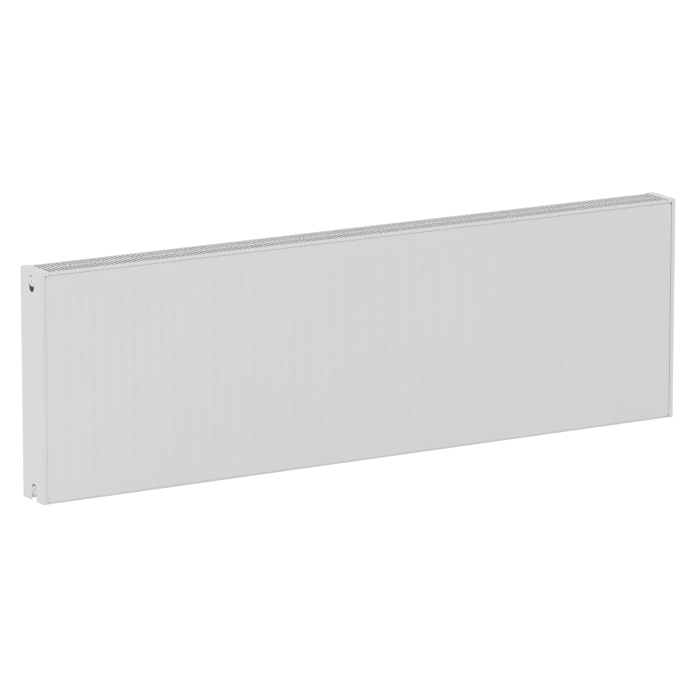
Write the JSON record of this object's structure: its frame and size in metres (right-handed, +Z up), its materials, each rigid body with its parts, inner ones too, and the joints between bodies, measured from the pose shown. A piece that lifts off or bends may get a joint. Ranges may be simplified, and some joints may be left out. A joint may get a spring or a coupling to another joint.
{
  "type": "panel radiator",
  "caption": "White steel panel radiator for a wall: ribbed water panels with convector fins between, slotted top grille, pull-off side covers, corner pipe sockets, bleed vent and rear lugs.",
  "frame": {"origin": "middle of the underside: halfway along the length, halfway through the depth, at the lower seams of the panels", "axes": "+X along the radiator to its right end seen from the room, +Y from the room to the wall, +Z up"},
  "size_m": [1.6, 0.095, 0.505],
  "materials": {
    "panel_enamel": "white baked enamel, satin gloss",
    "convector_enamel": "white baked primer coat, thin and satin",
    "cover_enamel": "white powder coat, satin",
    "spring_zinc": "zinc-plated spring strip",
    "nickel_plate": "nickel-plated brass, turned",
    "nozzle_nylon": "moulded white nylon",
    "seal_rubber": "matt black rubber"
  },
  "bodies": {
    "radiator": {"front_panel_face_sheet": "panel_enamel", "front_panel_inner_sheet": "panel_enamel", "rear_panel_inner_sheet": "panel_enamel", "rear_panel_back_sheet": "panel_enamel", "front_convector": "convector_enamel", "rear_convector": "convector_enamel", "connection_socket_top_left": "panel_enamel", "connection_socket_bottom_left": "panel_enamel", "connection_socket_top_right": "panel_enamel", "connection_socket_bottom_right": "panel_enamel", "wall_lug_top_left": "panel_enamel", "wall_lug_top_right": "panel_enamel", "wall_lug_bottom_left": "panel_enamel", "wall_lug_bottom_right": "panel_enamel", "vent_plug_body": "nickel_plate", "vent_plug_seal": "seal_rubber", "blanking_plug": "panel_enamel", "blanking_plug_seal": "seal_rubber"},
    "grille": {"top_grille": "cover_enamel", "grille_clip_front_left": "spring_zinc", "grille_clip_front_right": "spring_zinc", "grille_clip_rear_left": "spring_zinc", "grille_clip_rear_right": "spring_zinc"},
    "left_cover": {"left_side_cover": "cover_enamel", "cover_clip_front_left": "spring_zinc", "cover_clip_rear_left": "spring_zinc"},
    "right_cover": {"right_side_cover": "cover_enamel", "cover_clip_front_right": "spring_zinc", "cover_clip_rear_right": "spring_zinc"},
    "nozzle": {"vent_nozzle": "nozzle_nylon"},
    "bleed_needle": {"bleed_screw": "nickel_plate"}
  },
  "joints": [
    {"name": "grille_lift", "type": "slide", "parent": "radiator", "child": "grille", "axis": [0, 0, 1], "range_m": [0, 0.06]},
    {"name": "left_cover_pull", "type": "slide", "parent": "radiator", "child": "left_cover", "axis": [-1, 0, 0], "range_m": [0, 0.06]},
    {"name": "right_cover_pull", "type": "slide", "parent": "radiator", "child": "right_cover", "axis": [1, 0, 0], "range_m": [0, 0.06]},
    {"name": "nozzle_turn", "type": "hinge", "parent": "radiator", "child": "nozzle", "pos_m": [-0.798, -0.004, 0.479], "axis": [-1, 0, 0], "continuous": true},
    {"name": "bleed_screw_turn", "type": "hinge", "parent": "radiator", "child": "bleed_needle", "pos_m": [-0.798, -0.004, 0.479], "axis": [-1, 0, 0], "range_deg": [0, 270]}
  ]
}
